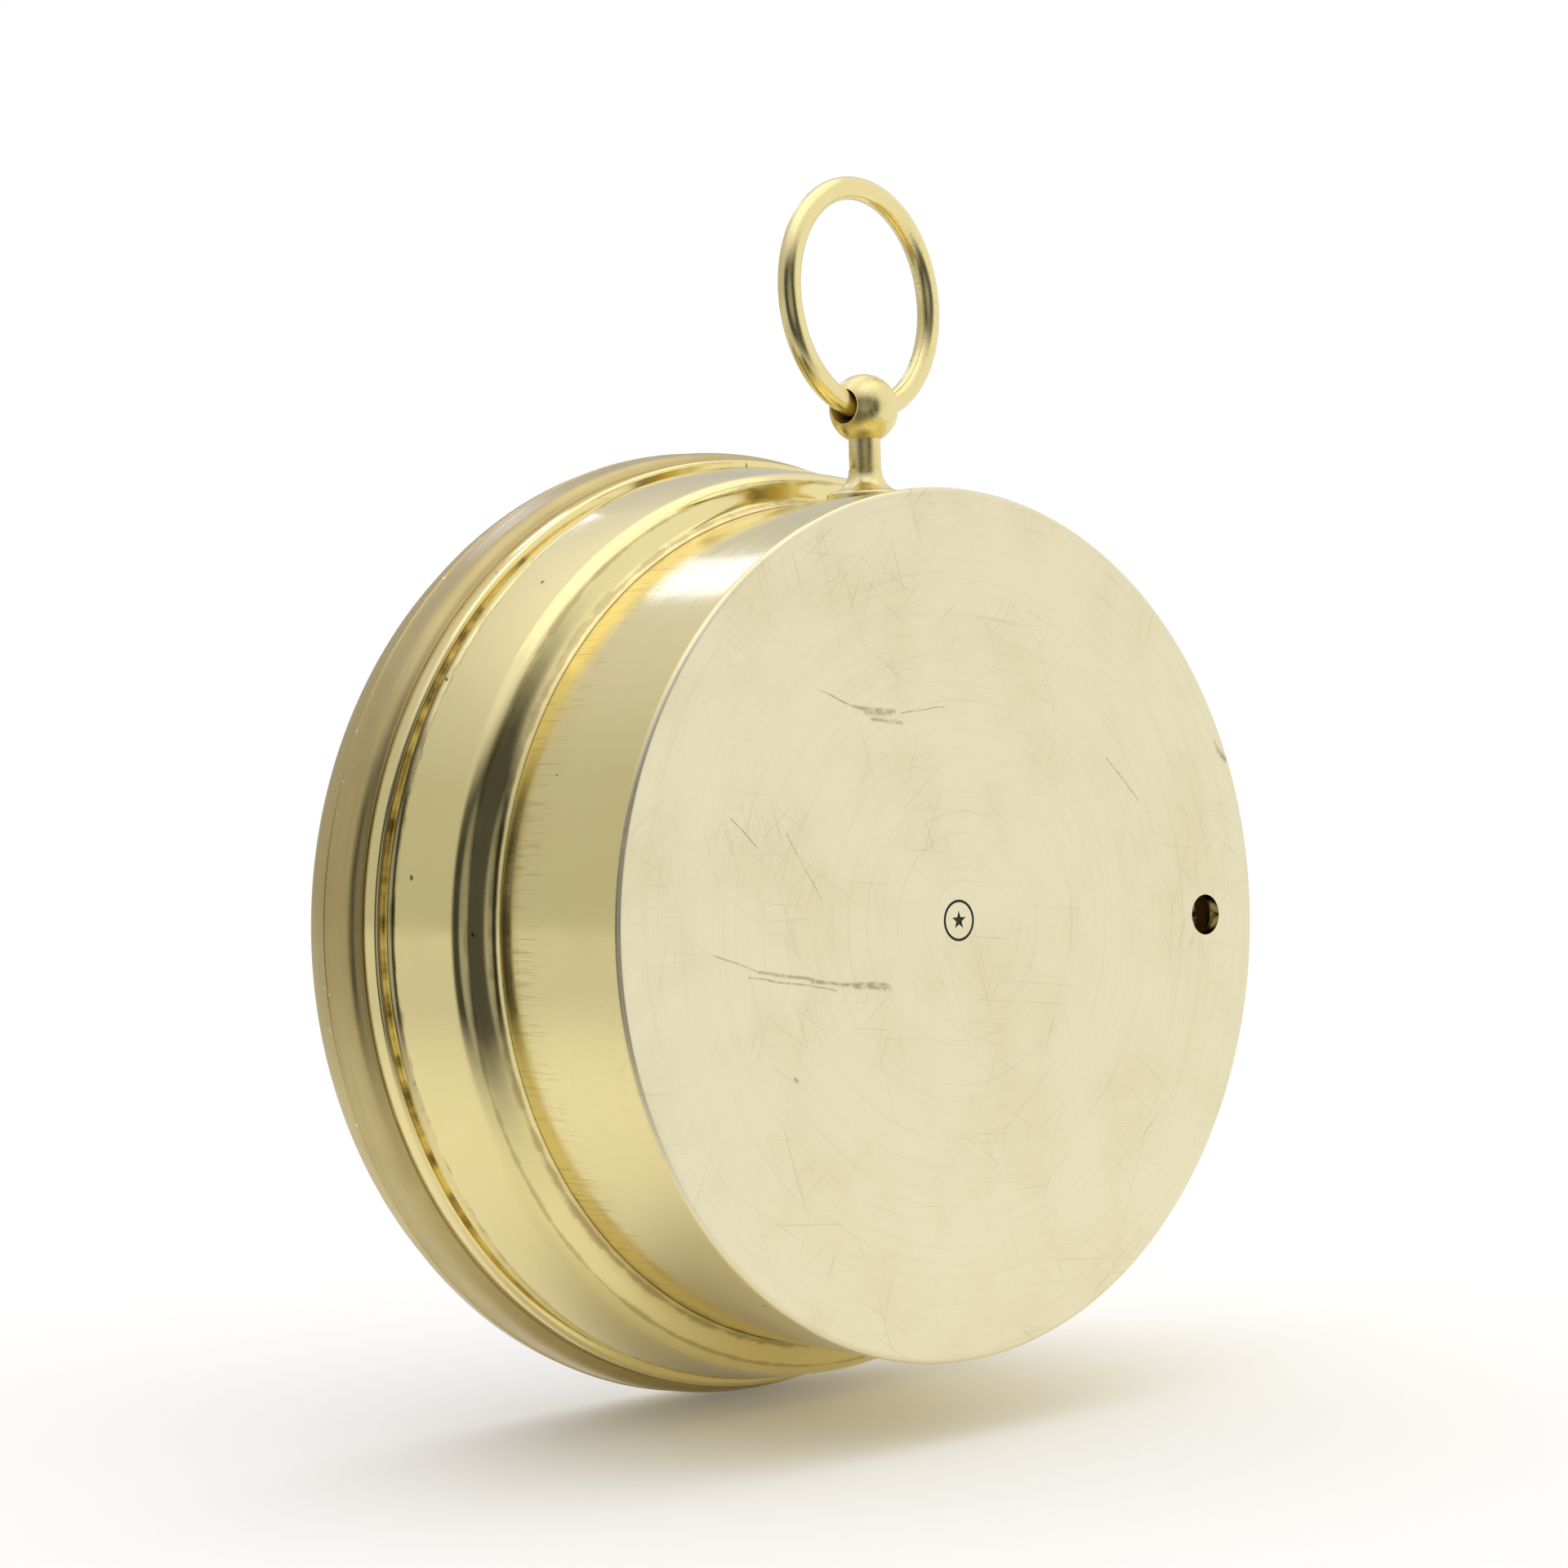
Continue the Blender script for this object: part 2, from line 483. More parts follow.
def make_finishes(colours):
    tarnish = tuple(colours.tarnish)
    FINISHES["polished"] = polished_brass(
        "turned_brass_buffed", tuple(colours.polished), tarnish, ((CREASE - 0.5, 0.3, 0.35),), roughness=0.14)
    FINISHES["collar"] = polished_brass(
        "collar_brass_buffed", tuple(colours.polished), tarnish,
        ((CREASE + 0.3, 0.5, 0.5), (CREASE + 1.8, 0.2, 0.4), (CREASE + 13.6, 1.25, 0.92), (SEAM, 0.4, 0.8)),
        roughness=0.09)
    FINISHES["pendant"] = polished_brass("pendant_brass_buffed", tuple(colours.polished), tarnish, roughness=0.17)
    FINISHES["handled"] = polished_brass("ball_brass_handled", tuple(colours.polished), tarnish, roughness=0.27)
    FINISHES["satin"] = satin_brass("bezel_brass_brushed", tuple(colours.satin), tarnish, SEAM + 6.2)
    FINISHES["back"] = faced_back("back_brass_faced", tuple(colours.back), tarnish)
    FINISHES["lacquered"] = lacquered_brass("movement_brass_lacquered", tuple(colours.lacquered))
    FINISHES["silvered"] = silvered_brass("dial_brass_silvered", tuple(colours.silvered))
    FINISHES["steel"] = steel_finish("machined_steel", tuple(colours.steel))
    FINISHES["spring"] = steel_finish("spring_steel_ground", [c * 0.7 for c in colours.steel], 0.2)
    FINISHES["blued"] = blued_finish("flame_blued_steel", tuple(colours.blued))
    FINISHES["nickel"] = nickel_silver("nickel_silver_pressed", tuple(colours.nickel))
    FINISHES["glass"] = clear_glass("plate_glass")
    FINISHES["wax"] = black_wax("engravers_wax")


# ---------------------------------------------------------------- modelling helpers


def size(name):
    """One of the user's sizes, in millimetres."""
    return getattr(bpy.context.scene.barometer_sizes, name) / MM


def clear_selection():
    if bpy.context.object and bpy.context.object.mode != "OBJECT":
        bpy.ops.object.mode_set(mode="OBJECT")
    bpy.ops.object.select_all(action="DESELECT")


def make_active(piece):
    clear_selection()
    piece.select_set(True)
    bpy.context.view_layer.objects.active = piece


def named(name):
    piece = bpy.context.object
    piece.name = piece.data.name = name
    return piece


def arc(centre, radius, start, end, steps=8):
    """Points round an arc, from one angle to another, in degrees."""
    angles = [math.radians(start + (end - start) * i / steps) for i in range(steps + 1)]
    return [(centre[0] + radius * math.cos(a), centre[1] + radius * math.sin(a)) for a in angles]


def curve(start, pull, push, end, steps=12):
    """Points along a cubic curve between two points that two others draw it towards."""
    a, b, c, d = (Vector(point) for point in (start, pull, push, end))
    spots = [i / steps for i in range(steps)]
    return [tuple(a * (1 - t) ** 3 + b * 3 * t * (1 - t) ** 2 + c * 3 * t**2 * (1 - t) + d * t**3) for t in spots]


def rounded(points, radius, steps=4):
    """A closed outline with each corner sharper than 20 degrees replaced by a small curve."""
    out = []
    for i, here in enumerate(points):
        before, after = Vector(points[i - 1]), Vector(points[(i + 1) % len(points)])
        here = Vector(here)
        back, on = before - here, after - here
        turn = math.pi - back.angle(on) if back.length > 1e-6 and on.length > 1e-6 else 0
        if turn < math.radians(20) or here.x < 1e-6:
            out.append(tuple(here))
            continue
        reach = min(radius * math.tan(turn / 2), 0.4 * back.length, 0.4 * on.length)
        first, last = here + back.normalized() * reach, here + on.normalized() * reach
        for k in range(steps + 1):
            t = k / steps
            out.append(tuple(first * (1 - t) ** 2 + here * 2 * t * (1 - t) + last * t**2))
    return out


def drawn(name, spots):
    """Starts a piece in edit mode as a chain of points in space, in millimetres."""
    clear_selection()
    bpy.ops.mesh.primitive_plane_add(size=MM)
    piece = named(name)
    bpy.ops.object.mode_set(mode="EDIT")
    bpy.ops.mesh.merge(type="CENTER")
    bpy.ops.transform.translate(value=spots[0] * MM)
    for here, there in zip(spots, spots[1:]):
        bpy.ops.mesh.extrude_vertices_move(TRANSFORM_OT_translate={"value": (there - here) * MM})
    bpy.ops.mesh.select_all(action="SELECT")
    return piece


def close_up(gap=0.0):
    """Merges what meets, turns every face outwards and leaves edit mode."""
    bpy.ops.mesh.select_all(action="SELECT")
    if gap:
        bpy.ops.mesh.remove_doubles(threshold=gap)
    bpy.ops.mesh.normals_make_consistent(inside=False)
    bpy.ops.object.mode_set(mode="OBJECT")


def placed(piece, matrix):
    """Moves a piece, and leaves its object at the origin."""
    make_active(piece)
    piece.matrix_world = matrix
    bpy.ops.object.transform_apply(location=True, rotation=True, scale=True)
    return piece


def copied(piece, matrix):
    """A copy of a piece, with its own mesh, moved from where the piece stands."""
    other = piece.copy()
    other.data = piece.data.copy()
    bpy.context.collection.objects.link(other)
    return placed(other, matrix)


def case_axis(radius, depth):
    return Vector((radius, -depth, 0))


def spun(name, points, centre=Vector((0, 0, 0)), axis=Vector((0, 1, 0)), steps=None, closed=True):
    """Draws a chain of points in space, in millimetres, and spins it once round an axis."""
    piece = drawn(name, list(points) + ([points[0]] if closed else []))
    bpy.ops.mesh.spin(steps=steps or bpy.context.scene.barometer_sizes.steps, angle=2 * math.pi,
                      center=centre * MM, axis=axis)
    close_up(1e-6)
    return piece


def turned(name, outline, closed=True, steps=None):
    """A piece turned about the case's axis, from points of radius and depth."""
    return spun(name, [case_axis(r, d) for r, d in outline], closed=closed, steps=steps)


def apply_modifier(piece, kind, **settings):
    make_active(piece)
    modifier = piece.modifiers.new(kind.title(), kind)
    for name, value in settings.items():
        setattr(modifier, name, value)
    bpy.ops.object.modifier_apply(modifier=modifier.name)


def cut(piece, cutter):
    """Takes one piece away from another, and deletes the cutter."""
    apply_modifier(piece, "BOOLEAN", object=cutter, operation="DIFFERENCE", solver="EXACT")
    bpy.data.objects.remove(cutter)


def bar(name, radius, start, end, at=(0, 0), vertices=64):
    """A round bar along the case's axis between two depths."""
    clear_selection()
    bpy.ops.mesh.primitive_cylinder_add(
        vertices=vertices, radius=radius * MM, depth=(end - start) * MM,
        location=(at[0] * MM, -(start + end) / 2 * MM, at[1] * MM), rotation=(math.pi / 2, 0, 0))
    piece = named(name)
    bpy.ops.object.transform_apply(location=True, rotation=True, scale=True)
    return piece


def plate(name, outline, start, end, bevel=0.0):
    """A flat outline in x and z made solid between two depths, with its edges eased."""
    piece = drawn(name, [Vector((x, -start, z)) for x, z in outline])
    bpy.ops.mesh.edge_face_add()
    bpy.ops.mesh.extrude_region_move(TRANSFORM_OT_translate={"value": (0, -(end - start) * MM, 0)})
    close_up()
    if bevel:
        apply_modifier(piece, "BEVEL", width=bevel * MM, segments=2, angle_limit=math.radians(40))
    return piece


def joined(name, pieces):
    make_active(pieces[0])
    for piece in pieces:
        piece.select_set(True)
    bpy.ops.object.join()
    return named(name)


def finished(piece, angle, body, finish, nodes=()):
    """Smooths a piece over gentle edges, and gives it its finish, the CAD nodes that it stands for, and
    a body if it rides just one."""
    if angle:
        make_active(piece)
        bpy.ops.object.shade_smooth_by_angle(angle=math.radians(angle))
    if finish:
        piece.data.materials.clear()
        piece.data.materials.append(FINISHES[finish])
    if body:
        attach(piece, body)
    if nodes:
        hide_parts(*nodes)


# ---------------------------------------------------------------- pieces


class BAROMETER_OT_drum(bpy.types.Operator):
    """Turn the drum with its back, its access hole and its stamp"""

    bl_idname = "barometer.drum"
    bl_label = "Drum and back"

    def execute(self, context):
        drum_end = depths("case_drum")[1]
        wall = 1.6
        inner = DRUM_R - wall
        outline = [(0, 0), (12, 0), (30, 0), (DRUM_R - 3, 0), (DRUM_R - size("edge") - 0.3, 0)]
        outline += arc((DRUM_R - size("edge"), size("edge")), size("edge"), -90, 0, 10)
        outline += [(DRUM_R, size("edge") + 0.3), (DRUM_R, 8), (DRUM_R, CREASE - 4), (DRUM_R, CREASE),
                    (DRUM_R, drum_end), (inner, drum_end), (inner, wall), (0, wall)]
        drum = turned("drum", outline, closed=False)
        screw_low, screw_high = limits("adjusting_screw")
        hole = ((screw_low.x + screw_high.x) / 2, (screw_low.z + screw_high.z) / 2)
        hole_r, stamp_in, stamp_out = 2.75, 2.3, 2.65
        cut(drum, bar("hole_cutter", hole_r, -1, wall + 1, hole, 72))
        ring = turned("stamp_cutter", [(stamp_in, -0.5), (stamp_out, -0.5), (stamp_out, STAMP_DEEP),
                                       (stamp_in, STAMP_DEEP)], steps=72)
        cut(drum, placed(ring, Matrix.Translation((STAMP_AT[0] * MM, 0, STAMP_AT[1] * MM))))
        points = [(r * math.sin(i * math.pi / 5), r * math.cos(i * math.pi / 5))
                  for i, r in enumerate([1.25, 0.5] * 5)]
        cut(drum, plate("star_cutter", [(STAMP_AT[0] + x, STAMP_AT[1] + z) for x, z in points], -0.5, STAMP_DEEP))
        drum.data.materials.append(FINISHES["polished"])
        drum.data.materials.append(FINISHES["back"])
        drum.data.materials.append(FINISHES["wax"])
        for face in drum.data.polygons:
            at = face.center / MM
            if at.y > -0.5 * size("edge"):
                stamped = at.y < -0.2 * STAMP_DEEP and math.dist((at.x, at.z), STAMP_AT) < 3
                face.material_index = 2 if stamped else 1
        finished(drum, 32, "case", None, ["case_drum"])
        return {"FINISHED"}


class BAROMETER_OT_collar(bpy.types.Operator):
    """Turn the collar that joins the drum to the bezel, with its shoulder, groove and bead"""

    bl_idname = "barometer.collar"
    bl_label = "Collar"

    def execute(self, context):
        groove = CREASE + 13.9
        spigot_end = depths("case_collar")[1]
        outer = COLLAR_R - 1.2
        outline = curve((DRUM_R + 0.04, CREASE - 0.7), (DRUM_R + 0.1, CREASE + 0.7), (DRUM_R + 1.5, CREASE + 1.05),
                        (outer - 3.62, CREASE + 1.6))
        outline += arc((outer - 4.7, CREASE + 4.4), 3.0, -69, -10, 14)
        outline += arc((outer, groove), 1.2, 268, 92, 14)
        outline += arc((COLLAR_R - 0.6, SEAM - 2.3), 0.6, -90, -5, 6)
        outline += [(COLLAR_R, SEAM - 0.15), (COLLAR_R - 0.15, SEAM), (outer - 1, SEAM), (outer - 1, spigot_end),
                    (outer - 3, spigot_end), (outer - 3, CREASE + 7), (DRUM_R - 1.6, CREASE + 7),
                    (DRUM_R - 1.6, CREASE + 5), (DRUM_R + 0.05, CREASE + 5)]
        collar = turned("collar", rounded(outline, 0.2))
        finished(collar, 40, "case", "collar", ["case_collar"])
        return {"FINISHED"}


class BAROMETER_OT_bezel(bpy.types.Operator):
    """Turn the bezel that holds the glass"""

    bl_idname = "barometer.bezel"
    bl_label = "Bezel"

    def execute(self, context):
        bore = COLLAR_R - 2.15
        roll = 4.7
        outline = [(bore, SEAM), (COLLAR_R - 0.15, SEAM), (COLLAR_R, SEAM + 0.15)]
        outline += curve((COLLAR_R + 0.06, SEAM + 0.35), (COLLAR_R + 2.1, SEAM + 1.2),
                         (BEZEL_R - 0.5, SEAM + 4.0), (BEZEL_R - 0.12, SEAM + 6.1))
        outline += [(BEZEL_R - 0.12, SEAM + 6.1), (BEZEL_R, SEAM + 6.3), (BEZEL_R, SEAM + 6.5),
                    (BEZEL_R - 0.25, SEAM + 8.5)]
        outline += arc((BEZEL_R - 1 - roll, BEZEL_END - roll), roll, 0, 140, 24)
        outline += [(size("sight") + 0.6, GLASS_FRONT + 1.5), (size("sight"), GLASS_FRONT + 0.8),
                    (size("sight"), GLASS_FRONT), (GLASS_R + 0.05, GLASS_FRONT),
                    (GLASS_R + 0.05, SEAM + 5.3), (bore, SEAM + 4.8)]
        bezel = turned("bezel_ring", rounded(outline, 0.4))
        finished(bezel, 30, "case", "satin", ["bezel"])
        return {"FINISHED"}


class BAROMETER_OT_pendant(bpy.types.Operator):
    """Turn the pendant's foot, flare and stem, and the ball with its flared bore"""

    bl_idname = "barometer.pendant"
    bl_label = "Pendant and ball"

    def execute(self, context):
        low, high = limits("pendant")
        foot, stem = (high.x - low.x) / 2, 2.1
        joint = DRUM_R + 3.9
        axis_at = Vector((0, -PENDANT_DEPTH, 0))
        outline = [(0, low.z), (stem, low.z), (stem, DRUM_R - 0.3), (foot - 0.15, DRUM_R - 0.3),
                   (foot, DRUM_R - 0.1), (foot, DRUM_R + 0.55), (foot - 0.1, DRUM_R + 0.72)]
        outline += arc((foot, joint), foot - stem - 0.1, 262, 180, 16)
        outline += [(stem + 0.1, joint + 0.05), (stem - 0.06, joint + 0.1), (stem, joint + 0.2),
                    (stem, high.z), (0, high.z)]
        pendant = spun("pendant_stem", [axis_at + Vector((r, 0, z)) for r, z in outline],
                       axis_at, Vector((0, 0, 1)), steps=96, closed=False)
        finished(pendant, 35, "case", "handled", ["pendant"])

        wire = size("wire")
        mouth = wire + 0.78
        reach = math.degrees(math.asin(mouth / BALL_R))
        side = Vector((0, 0, 1))
        half = [(wire + 0.1, 0), (wire + 0.1, 1.4), (mouth - 0.12, 4.0), (mouth, 4.16)]
        half += [(y, x) for x, y in arc((0, 0), BALL_R, reach, 90, 22)]
        outline = half + [(r, -along) for r, along in reversed(half[1:-1])]
        ball = spun("pendant_ball", [BALL_CENTRE + side * r + PIN_AXIS * along for r, along in outline],
                    BALL_CENTRE, PIN_AXIS, steps=96)
        finished(ball, 40, "case", "handled", ["ball"])
        return {"FINISHED"}


class BAROMETER_OT_ring(bpy.types.Operator):
    """Bend the hanging ring from round wire"""

    bl_idname = "barometer.ring"
    bl_label = "Hanging ring"

    def execute(self, context):
        wire = size("wire")
        radius = (RING_HIGH.z - BALL_CENTRE.z - wire) / 2
        centre = BALL_CENTRE + Vector((0, 0, radius))
        across = PIN_AXIS.cross(Vector((0, 0, 1)))
        gap = 1.2
        clear_selection()
        bpy.ops.mesh.primitive_circle_add(vertices=40, radius=wire * MM, fill_type="NGON")
        ring = named("hanging_ring")
        start = math.radians(-90 + gap / 2)
        out = PIN_AXIS * math.cos(start) + Vector((0, 0, 1)) * math.sin(start)
        turn = Matrix((out, across, out.cross(across))).transposed()
        placed(ring, Matrix.Translation((centre + out * radius) * MM) @ turn.to_4x4())
        bpy.ops.object.mode_set(mode="EDIT")
        bpy.ops.mesh.select_all(action="SELECT")
        bpy.ops.mesh.spin(steps=200, angle=math.radians(360 - gap), center=centre * MM, axis=-across)
        close_up(1e-7)
        finished(ring, 40, "bow", "pendant", ["ring"])
        return {"FINISHED"}


class BAROMETER_OT_glass(bpy.types.Operator):
    """Turn the glass with its drilled hole and broken edges, and the rings on each side of it"""

    bl_idname = "barometer.glass"
    bl_label = "Glass and its rings"

    def execute(self, context):
        bore = 1.25
        outline = [(bore, GLASS_BACK), (20, GLASS_BACK), (GLASS_R, GLASS_BACK), (GLASS_R, GLASS_FRONT),
                   (20, GLASS_FRONT), (bore, GLASS_FRONT)]
        glass = turned("window", rounded(outline, size("break_edge")), steps=192)
        finished(glass, 25, "case", "glass", ["glass"])

        start, end = depths("glass_ring")
        outline = [(size("sight") + 0.8, start), (GLASS_R, start), (GLASS_R, end), (size("sight") + 0.8, end)]
        ring = turned("glass_seat", rounded(outline, size("break_edge")), steps=192)
        finished(ring, 25, "case", "lacquered", ["glass_ring"])

        start, end = depths("sight_ring")
        outer = limits("sight_ring")[1].x
        outline = [(outer - 2.7, start), (outer, start), (outer, end), (outer - 1.2, end)]
        ring = turned("sight_cone", rounded(outline, size("break_edge")), steps=192)
        finished(ring, 25, "case", "silvered", ["sight_ring"])
        return {"FINISHED"}


class BAROMETER_OT_dial(bpy.types.Operator):
    """Engrave the dial's scale: a line for every millibar and a figure for every ten"""

    bl_idname = "barometer.dial"
    bl_label = "Dial scale"

    def execute(self, context):
        first, last, per_unit, top = 960, 1060, 2.2, 1010
        below, above = DIAL_FRONT - 0.01, DIAL_FRONT + 0.02
        lines = []
        patterns = {
            every: plate("line", [(-width / 2, SCALE_R - length), (-width / 2, SCALE_R), (width / 2, SCALE_R),
                                  (width / 2, SCALE_R - length)], below, above)
            for every, length, width in ((10, 3.6, 0.34), (5, 2.6, 0.24), (1, 1.7, 0.16))}
        for value in range(first, last + 1):
            pattern = next(line for every, line in patterns.items() if value % every == 0)
            lines.append(copied(pattern, Matrix.Rotation(math.radians((value - top) * per_unit), 4, "Y")))
        for pattern in patterns.values():
            bpy.data.objects.remove(pattern)
        for radius in (SCALE_R + 0.1, SCALE_R - 1.75):
            lines.append(turned("circle", [(radius - 0.08, below), (radius + 0.08, below), (radius + 0.08, above),
                                           (radius - 0.08, above)], steps=192))
        for value in range(first, last + 1, 10):
            clear_selection()
            bpy.ops.object.text_add()
            text = context.object
            text.data.body = str(value)
            text.data.align_x, text.data.align_y = "CENTER", "CENTER"
            text.data.size = size("figure") * MM
            text.data.extrude = 0.015 * MM
            bpy.ops.object.convert(target="MESH")
            figure = named("figure")
            place = Matrix.Rotation(math.radians((value - top) * per_unit), 4, "Y")
            place = place @ Matrix.Translation(Vector((0, -DIAL_FRONT - 0.006, SCALE_R - 6.6)) * MM)
            lines.append(placed(figure, place @ Matrix.Rotation(math.pi / 2, 4, "X")))
        scale = joined("dial_scale", lines)
        finished(scale, None, "case", "wax")

        outline = [(size("dial_open"), DIAL_BACK), (DIAL_R, DIAL_BACK), (DIAL_R, DIAL_FRONT),
                   (45, DIAL_FRONT), (30, DIAL_FRONT), (size("dial_open"), DIAL_FRONT)]
        plain = turned("dial_plate", rounded(outline, size("break_edge")), steps=256)
        for angle in (45, 135, 270):
            at = Matrix.Rotation(math.radians(angle), 2) @ Vector((limits("base_plate")[1].x - 3.5, 0))
            cut(plain, bar("dial_cutter", 1.05, DIAL_BACK - 1, DIAL_FRONT + 1, at, 32))
        finished(plain, 25, "case", "silvered", ["dial"])
        return {"FINISHED"}


class BAROMETER_OT_knob(bpy.types.Operator):
    """Turn the set hand's knob and cut its knurling"""

    bl_idname = "barometer.knob"
    bl_label = "Knurled knob"

    def execute(self, context):
        low, high = limits("set_knob")
        radius, start, end = (high.x - low.x) / 2, -high.y, -low.y
        outline = [(1.25, start), (radius - 1, start), (radius - 1, start + 1.6), (radius - 0.2, start + 2.2),
                   (radius, start + 2.4), (radius, end - 1.4), (radius - 0.25, end - 1.2),
                   (radius - 0.25, end - 0.9),
                   (radius, end - 0.7), (radius - 0.5, end), (2.5, end - 0.1), (0, end - 0.1), (0, start + 1.8),
                   (1.25, start + 1.8)]
        knob = turned("knurled_knob", rounded(outline, 0.12), steps=160)
        make_active(knob)
        bpy.ops.object.mode_set(mode="EDIT")
        bpy.ops.mesh.select_all(action="DESELECT")
        bpy.ops.object.mode_set(mode="OBJECT")
        step = 2 * math.pi / 160
        for face in knob.data.polygons:
            at = face.center / MM
            tooth = int((math.atan2(at.z, at.x) % (2 * math.pi)) / step) % 4
            face.select = math.hypot(at.x, at.z) > radius - 0.02 and tooth < 2 and -end + 1.5 < at.y < -start - 2.5
        bpy.ops.object.mode_set(mode="EDIT")
        bpy.ops.mesh.extrude_region_move()
        bpy.ops.transform.resize(value=(1 - 0.14 / radius, 1, 1 - 0.14 / radius), center_override=(0, 0, 0))
        bpy.ops.object.mode_set(mode="OBJECT")
        finished(knob, 22, "set_hand", "pendant", ["set_knob"])
        return {"FINISHED"}


class BAROMETER_OT_hands(bpy.types.Operator):
    """File the pressure hand and the set hand from sheet, with eased edges and turned hubs"""

    bl_idname = "barometer.hands"
    bl_label = "Hands"

    def execute(self, context):
        start, hub_end = depths("pressure_hand")
        end = hub_end - 0.4
        tip = limits("pressure_hand")[1].z
        right = arc((0, -15), 4, -90, 66.4, 16)[1:] + [(1.1, -3)] + [(1.1, 3), (0.8, tip - 15)]
        right += arc((0, tip - 13), 3, -74, 62.7, 14) + [(0, tip)]
        outline = [(0, -19)] + right + [(-x, z) for x, z in reversed(right[:-1])]
        hub = turned("hub", rounded([(0.85, start), (3, start), (3, hub_end), (0.85, hub_end)], 0.12), steps=64)
        hand = joined("blued_hand", [plate("blade", outline, start + 0.02, end, 0.08), hub])
        finished(hand, 30, "pointer", "blued", ["pressure_hand"])

        start, shaft_end = depths("set_hand")
        end = start + 0.7
        right = arc((0, -12), 2.4, -90, 60, 12)[1:] + [(1.2, -3)] + [(1.2, 0), (0.6, tip - 8), (0, tip)]
        outline = [(0, -14.4)] + right + [(-x, z) for x, z in reversed(right[:-1])]
        blade = plate("set_blade", outline, start + 0.02, end, 0.08)
        placed(blade, Matrix.Rotation(math.radians(-24), 4, "Y"))
        hub = turned("set_hub", rounded([(0, start), (3, start), (3, start + 1.7), (1.2, start + 1.7),
                                         (1.2, shaft_end), (0, shaft_end)], 0.1), steps=64)
        hand = joined("brass_hand", [blade, hub])
        finished(hand, 30, "set_hand", "lacquered", ["set_hand"])
        return {"FINISHED"}


class BAROMETER_OT_capsule(bpy.types.Operator):
    """Spin the vacuum capsule with smooth corrugations"""

    bl_idname = "barometer.capsule"
    bl_label = "Vacuum capsule"

    def execute(self, context):
        stud_start, top = depths("capsule")
        back = top - 8
        middle, outer = (back + top) / 2, limits("capsule")[1].x
        waves = [(6 + (outer - 9) * i / 80, 3.4 + 0.6 * math.cos(8 * math.pi * i / 80)) for i in range(81)]
        outline = [(0, stud_start), (2.5, stud_start), (2.5, back - 1), (5, back - 1), (5, back)]
        outline += [(r, middle - h) for r, h in waves]
        outline += [(outer - 2, middle - 0.5), (outer, middle - 0.5), (outer, middle + 0.5),
                    (outer - 2, middle + 0.5)]
        outline += [(r, middle + h) for r, h in reversed(waves)] + [(0, top)]
        capsule = turned("corrugated_capsule", outline, closed=False, steps=144)
        finished(capsule, 35, None, "nickel", ["capsule"])
        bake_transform(capsule)
        return {"FINISHED"}


class BAROMETER_OT_chain(bpy.types.Operator):
    """Spin the fine chain, link by link, from the pulley to the arm"""

    bl_idname = "barometer.chain"
    bl_label = "Chain"

    def execute(self, context):
        low, high = limits("chain")
        depth, thick = (high.y + low.y) / 2, (high.y - low.y) / 2
        start = Vector((low.x + 0.05, depth, low.z + thick))
        run = Vector((high.x - 0.05, depth, high.z - thick)) - start
        links, profile = 48, ((0.1, 0.6), (0.3, 1.0), (0.7, 1.0), (0.9, 0.6))
        points = [start]
        for i in range(links):
            points += [start + run * (i + part) / links + Vector((0, thick * wide, 0)) for part, wide in profile]
        chain = spun("linked_chain", points + [start + run], start, run.normalized(), 12, closed=False)
        finished(chain, 40, None, "steel", ["chain"])
        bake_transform(chain)
        return {"FINISHED"}


class BAROMETER_OT_spring(bpy.types.Operator):
    """Bend the main spring from strip, and trim and pierce its leaves"""

    bl_idname = "barometer.spring"
    bl_label = "Main spring"

    def execute(self, context):
        low, high = limits("main_spring")
        near, far = -high.y, -low.y
        thick, stud = 1.2, 2.4
        curl = (far - near) / 2 - thick / 2
        middle = (far + near) / 2
        bend = low.x + (far - near) / 2
        lower_end = bend + 10.5
        path = [(lower_end, near + thick / 2)]
        path += [(bend - curl * math.cos(a), middle + curl * math.sin(a))
                 for a in (math.radians(t) for t in range(-90, 91, 10))]
        path += [(x, far - thick / 2) for x in range(-40, 6, 5)] + [(high.x, far - thick / 2)]
        spring = drawn("bent_spring", [Vector((x, -depth, low.z)) for x, depth in path])
        bpy.ops.mesh.extrude_edges_move(TRANSFORM_OT_translate={"value": (0, 0, (high.z - low.z) * MM)})
        close_up()
        apply_modifier(spring, "SOLIDIFY", thickness=thick * MM, offset=0.0)
        half, tip = high.z, 4.5
        for side in (-1, 1):
            corner = [(lower_end + 10, half), (high.x, tip), (high.x + 3, tip), (high.x + 3, half + 3),
                      (lower_end + 10, half + 3)]
            cut(spring, plate("corner", [(x, side * z) for x, z in corner], middle, far + 3))
            cut(spring, bar("hole", 1.1, near - 2, middle, (bend + 5.5, side * 6)))
        cut(spring, bar("bore", stud, middle, far + 2))
        finished(spring, 35, None, "spring", ["main_spring"])
        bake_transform(spring)
        return {"FINISHED"}


class BAROMETER_OT_cad_finishes(bpy.types.Operator):
    """Give the CAD pieces that stay their finishes"""

    bl_idname = "barometer.cad_finishes"
    bl_label = "Finishes of the CAD pieces"

    def execute(self, context):
        by_slot = {
            "brass_case": "polished", "brass_polished": "pendant", "brass_satin": "satin",
            "brass_movement": "lacquered", "glass": "glass", "silvered_dial": "silvered", "steel": "steel",
            "spring_steel": "spring", "blued_steel": "blued", "nickel": "nickel",
        }
        for part in frame["record"]["subparts"]:
            node = frame["nodes"][part["node"]]
            for slot in node.material_slots:
                slot.material = FINISHES[by_slot[part["material_slot"]]]
        return {"FINISHED"}


# ---------------------------------------------------------------- stage


